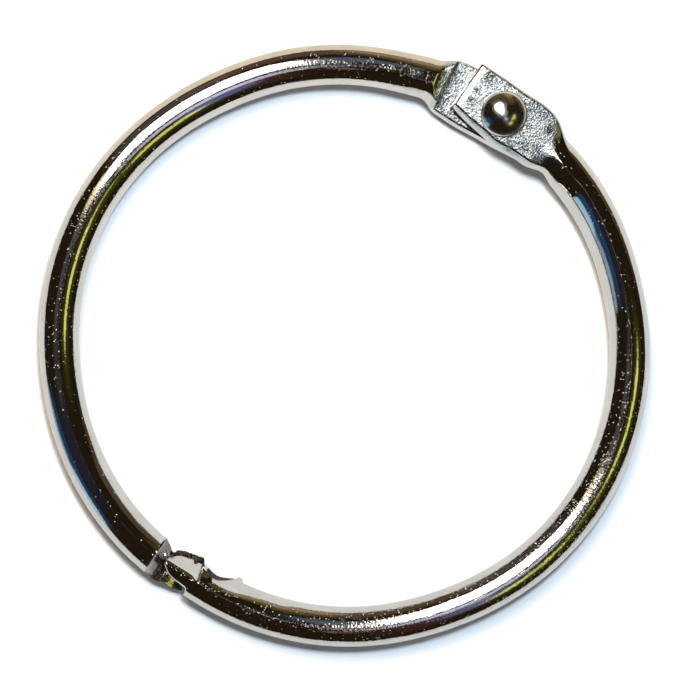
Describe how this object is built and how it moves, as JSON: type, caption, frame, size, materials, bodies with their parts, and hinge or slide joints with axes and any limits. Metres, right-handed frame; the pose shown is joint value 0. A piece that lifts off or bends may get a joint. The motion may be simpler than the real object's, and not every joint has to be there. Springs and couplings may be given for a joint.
{
  "type": "binder ring",
  "caption": "Round hinged loose-leaf ring of bent wire: halves riveted through flattened ends, closed by a hooked lap catch.",
  "frame": {"origin": "halfway between the rivet's axis and the middle of the catch of the closed ring, at the middle of the wire's thickness", "axes": "+Z is normal to the ring's plane, on the side of the rivet's domed head; +Y points from the catch to the hinge; +X points to the half that carries the upper leaf"},
  "size_m": [0.0442, 0.0443, 0.0043],
  "materials": {
    "nickel_wire": "bright nickel plate on steel wire, hammered on the pressed leaves and sheared at the catch",
    "nickel_rivet": "polished nickel plate on a steel rivet"
  },
  "bodies": {
    "left_half": {"left_half": "nickel_wire", "hinge_rivet": "nickel_rivet"},
    "right_half": {"right_half": "nickel_wire"}
  },
  "joints": [
    {"name": "ring_hinge", "type": "hinge", "parent": "left_half", "child": "right_half", "pos_m": [0, 0.02021, 0], "axis": [0, 0, 1], "range_deg": [0, 150]}
  ]
}
